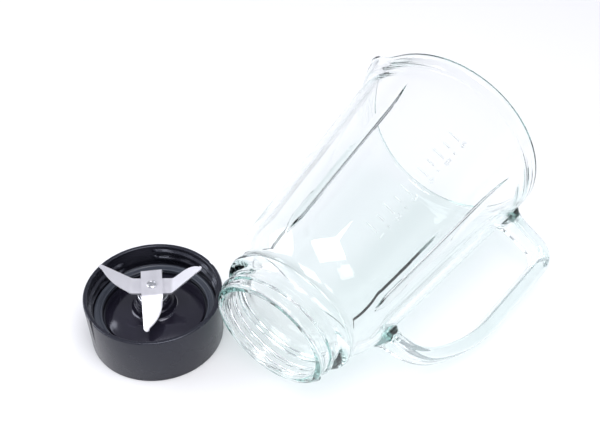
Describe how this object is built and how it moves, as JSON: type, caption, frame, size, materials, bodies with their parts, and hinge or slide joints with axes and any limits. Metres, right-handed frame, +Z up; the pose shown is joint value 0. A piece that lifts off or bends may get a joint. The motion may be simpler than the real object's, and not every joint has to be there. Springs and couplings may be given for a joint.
{
  "type": "countertop blender jug and blade base",
  "caption": "Clear glass blender jug with strap handle and pouring spout, lying on its side next to its screw-on blade base with up and down bent blades.",
  "frame": {"origin": "centre of the blade base's foot, on the surface that the base stands on and the jug lies on", "axes": "+Z up along the blade shaft; +Y the way the lying jug's mouth points, seen from above; the jug lies on the +X side with its handle outermost"},
  "size_m": [0.2281, 0.2601, 0.1357],
  "materials": {
    "glass": "clear pressed glass, faint green in its thick edges",
    "collar_plastic": "satin black",
    "carrier_plastic": "polished charcoal",
    "seal_rubber": "grey-blue silicone",
    "inner_rubber": "black nitrile",
    "blade_steel": "ground stainless, bright cutting edges",
    "steel": "turned stainless",
    "brass": "turned",
    "bronze": "sintered, oiled",
    "screw_steel": "zinc-plated",
    "coupling_plastic": "glass-filled nylon"
  },
  "bodies": {
    "base": {"base_collar": "collar_plastic", "sealing_ring": "seal_rubber", "bearing_carrier": "carrier_plastic", "carrier_screws": "screw_steel", "carrier_o_ring": "inner_rubber", "bearing_tube": "brass", "upper_bush": "bronze", "lower_bush": "bronze", "shaft_lip_seal": "inner_rubber", "seal_cap": "steel"},
    "rotor": {"blade_shaft": "steel", "blade_spacer": "steel", "lower_blade": "blade_steel", "upper_blade": "blade_steel", "upper_thrust_washer": "steel", "lower_thrust_washer": "steel", "circlip": "steel", "coupling_insert": "brass", "drive_coupling": "coupling_plastic"},
    "jug": {"glass_jug": "glass"}
  },
  "joints": [
    {"name": "blade_spin", "type": "hinge", "parent": "base", "child": "rotor", "pos_m": [0, 0, 0], "axis": [0, 0, 1], "continuous": true},
    {"name": "jug_lift", "type": "slide", "parent": "base", "child": "jug", "axis": [0, 0, 1], "range_m": [0, 0.25]}
  ]
}
